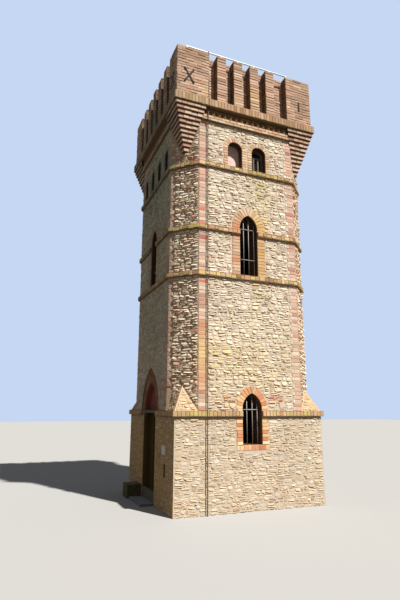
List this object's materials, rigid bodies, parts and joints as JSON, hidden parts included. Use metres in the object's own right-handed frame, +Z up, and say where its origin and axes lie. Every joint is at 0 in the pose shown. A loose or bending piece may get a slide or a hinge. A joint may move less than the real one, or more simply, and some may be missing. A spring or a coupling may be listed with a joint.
{
  "type": "gothic revival lookout tower",
  "caption": "Square rubble and brick lookout tower with cut-off corners, pointed windows, stepped corner corbels, a slotted parapet and a hinged entrance door.",
  "frame": {"origin": "centre of the footprint on the ground", "axes": "+Z up, the entrance faces -Y, the side with the paired top windows faces +X"},
  "size_m": [3.816, 3.995, 10.528],
  "materials": {
    "rubble": "rough coursed rubble",
    "brick": "weathered hand-made brick",
    "pale_brick": "weathered pale brick",
    "grey_stone": "worn grey stone",
    "floor_boards": "plain boards",
    "deck": "screeded deck",
    "plaster": "old lime plaster",
    "iron": "rusty black iron",
    "zinc": "dull galvanised",
    "door_boards": "grey weathered boards",
    "red_panel": "faded red paint",
    "frame_paint": "flaking white paint",
    "glass": "clear",
    "plate": "plain white"
  },
  "bodies": {
    "tower": {"ground_floor": "rubble", "first_floor": "floor_boards", "second_floor": "floor_boards", "roof_deck": "deck", "base_front_piers": "rubble", "base_right_wall": "rubble", "base_back_wall": "rubble", "base_left_wall": "rubble", "base_corners": "rubble", "front_wall": "rubble", "right_wall": "rubble", "back_wall": "rubble", "left_wall": "rubble", "corner_walls": "rubble", "broach_stops": "brick", "base_string_course": "pale_brick", "string_courses": "pale_brick", "cornice_moulding": "pale_brick", "toothed_course": "brick", "corner_corbels": "brick", "parapet_band": "pale_brick", "parapet_wall": "brick", "corner_blocks": "brick", "merlons": "brick", "parapet_rail": "zinc", "lightning_conductor": "iron", "wall_anchors": "iron", "low_window_surrounds": "brick", "lancet_surrounds": "pale_brick", "small_window_surrounds": "pale_brick", "niche_backs": "plaster", "top_window_frames": "frame_paint", "top_window_glass": "glass", "threshold": "grey_stone", "doorstep": "grey_stone", "step_cheek": "grey_stone", "door_lintel": "grey_stone", "lintel_corbels": "grey_stone", "door_arch": "brick", "tympanum": "red_panel", "door_pintles": "iron", "name_plate": "plate"},
    "door": {"door_leaf": "door_boards", "door_straps": "iron"}
  },
  "joints": [
    {"name": "door_hinge", "type": "hinge", "parent": "tower", "child": "door", "pos_m": [-0.458, -1.604, 1.0675], "axis": [0, 0, 1], "range_deg": [0, 90]}
  ]
}
